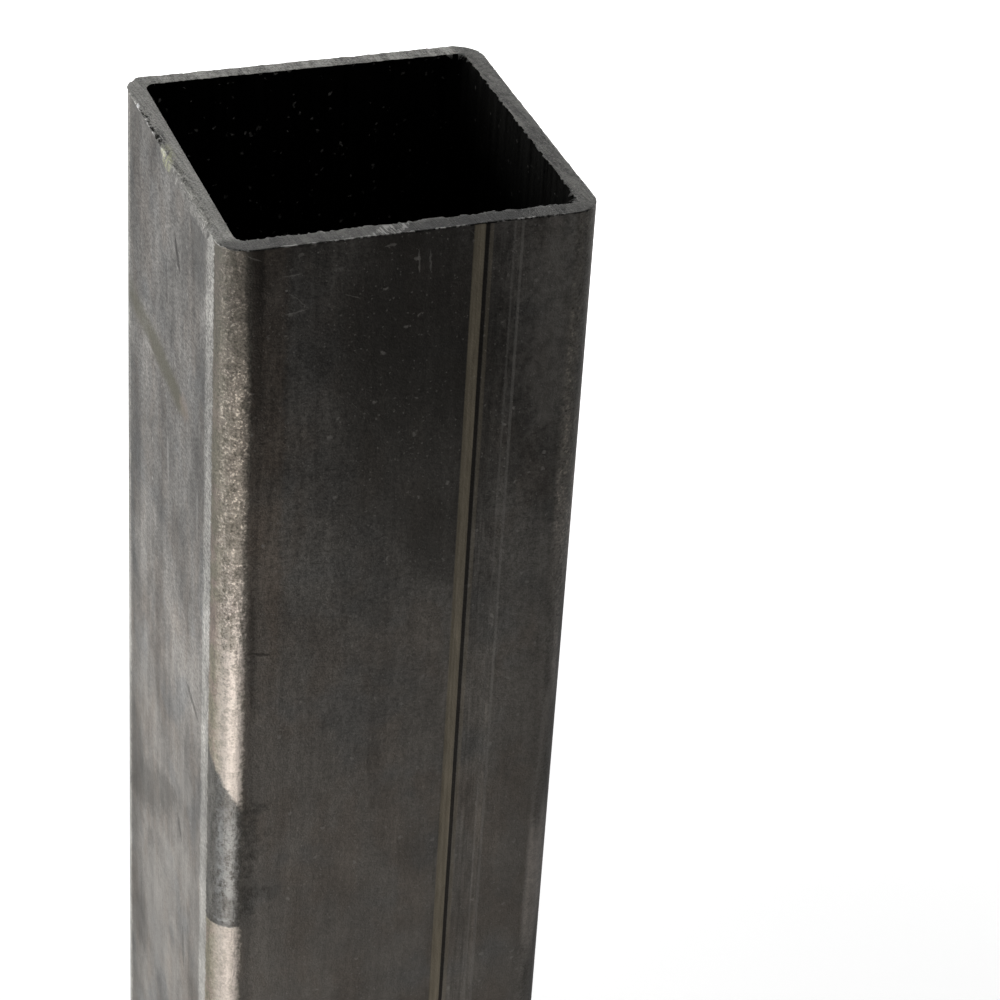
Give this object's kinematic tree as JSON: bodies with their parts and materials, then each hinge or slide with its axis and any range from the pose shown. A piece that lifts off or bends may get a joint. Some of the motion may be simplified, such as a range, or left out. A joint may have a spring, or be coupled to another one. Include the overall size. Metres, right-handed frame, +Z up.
{
  "type": "square steel tube",
  "caption": "Welded square hollow section with rounded corners and sawn ends, a cut length for frames, posts and supports.",
  "frame": {"origin": "centre of the lower sawn end", "axes": "+Z up the tube, -Y out of the face that carries the weld, +X towards the side that the weld is nearer to"},
  "size_m": [0.1, 0.1, 0.5],
  "materials": {
    "steel": "bare steel with dark rolling scale on the faces and bright sawn ends"
  },
  "bodies": {
    "root": {"square_tube": "steel"}
  },
  "joints": []
}
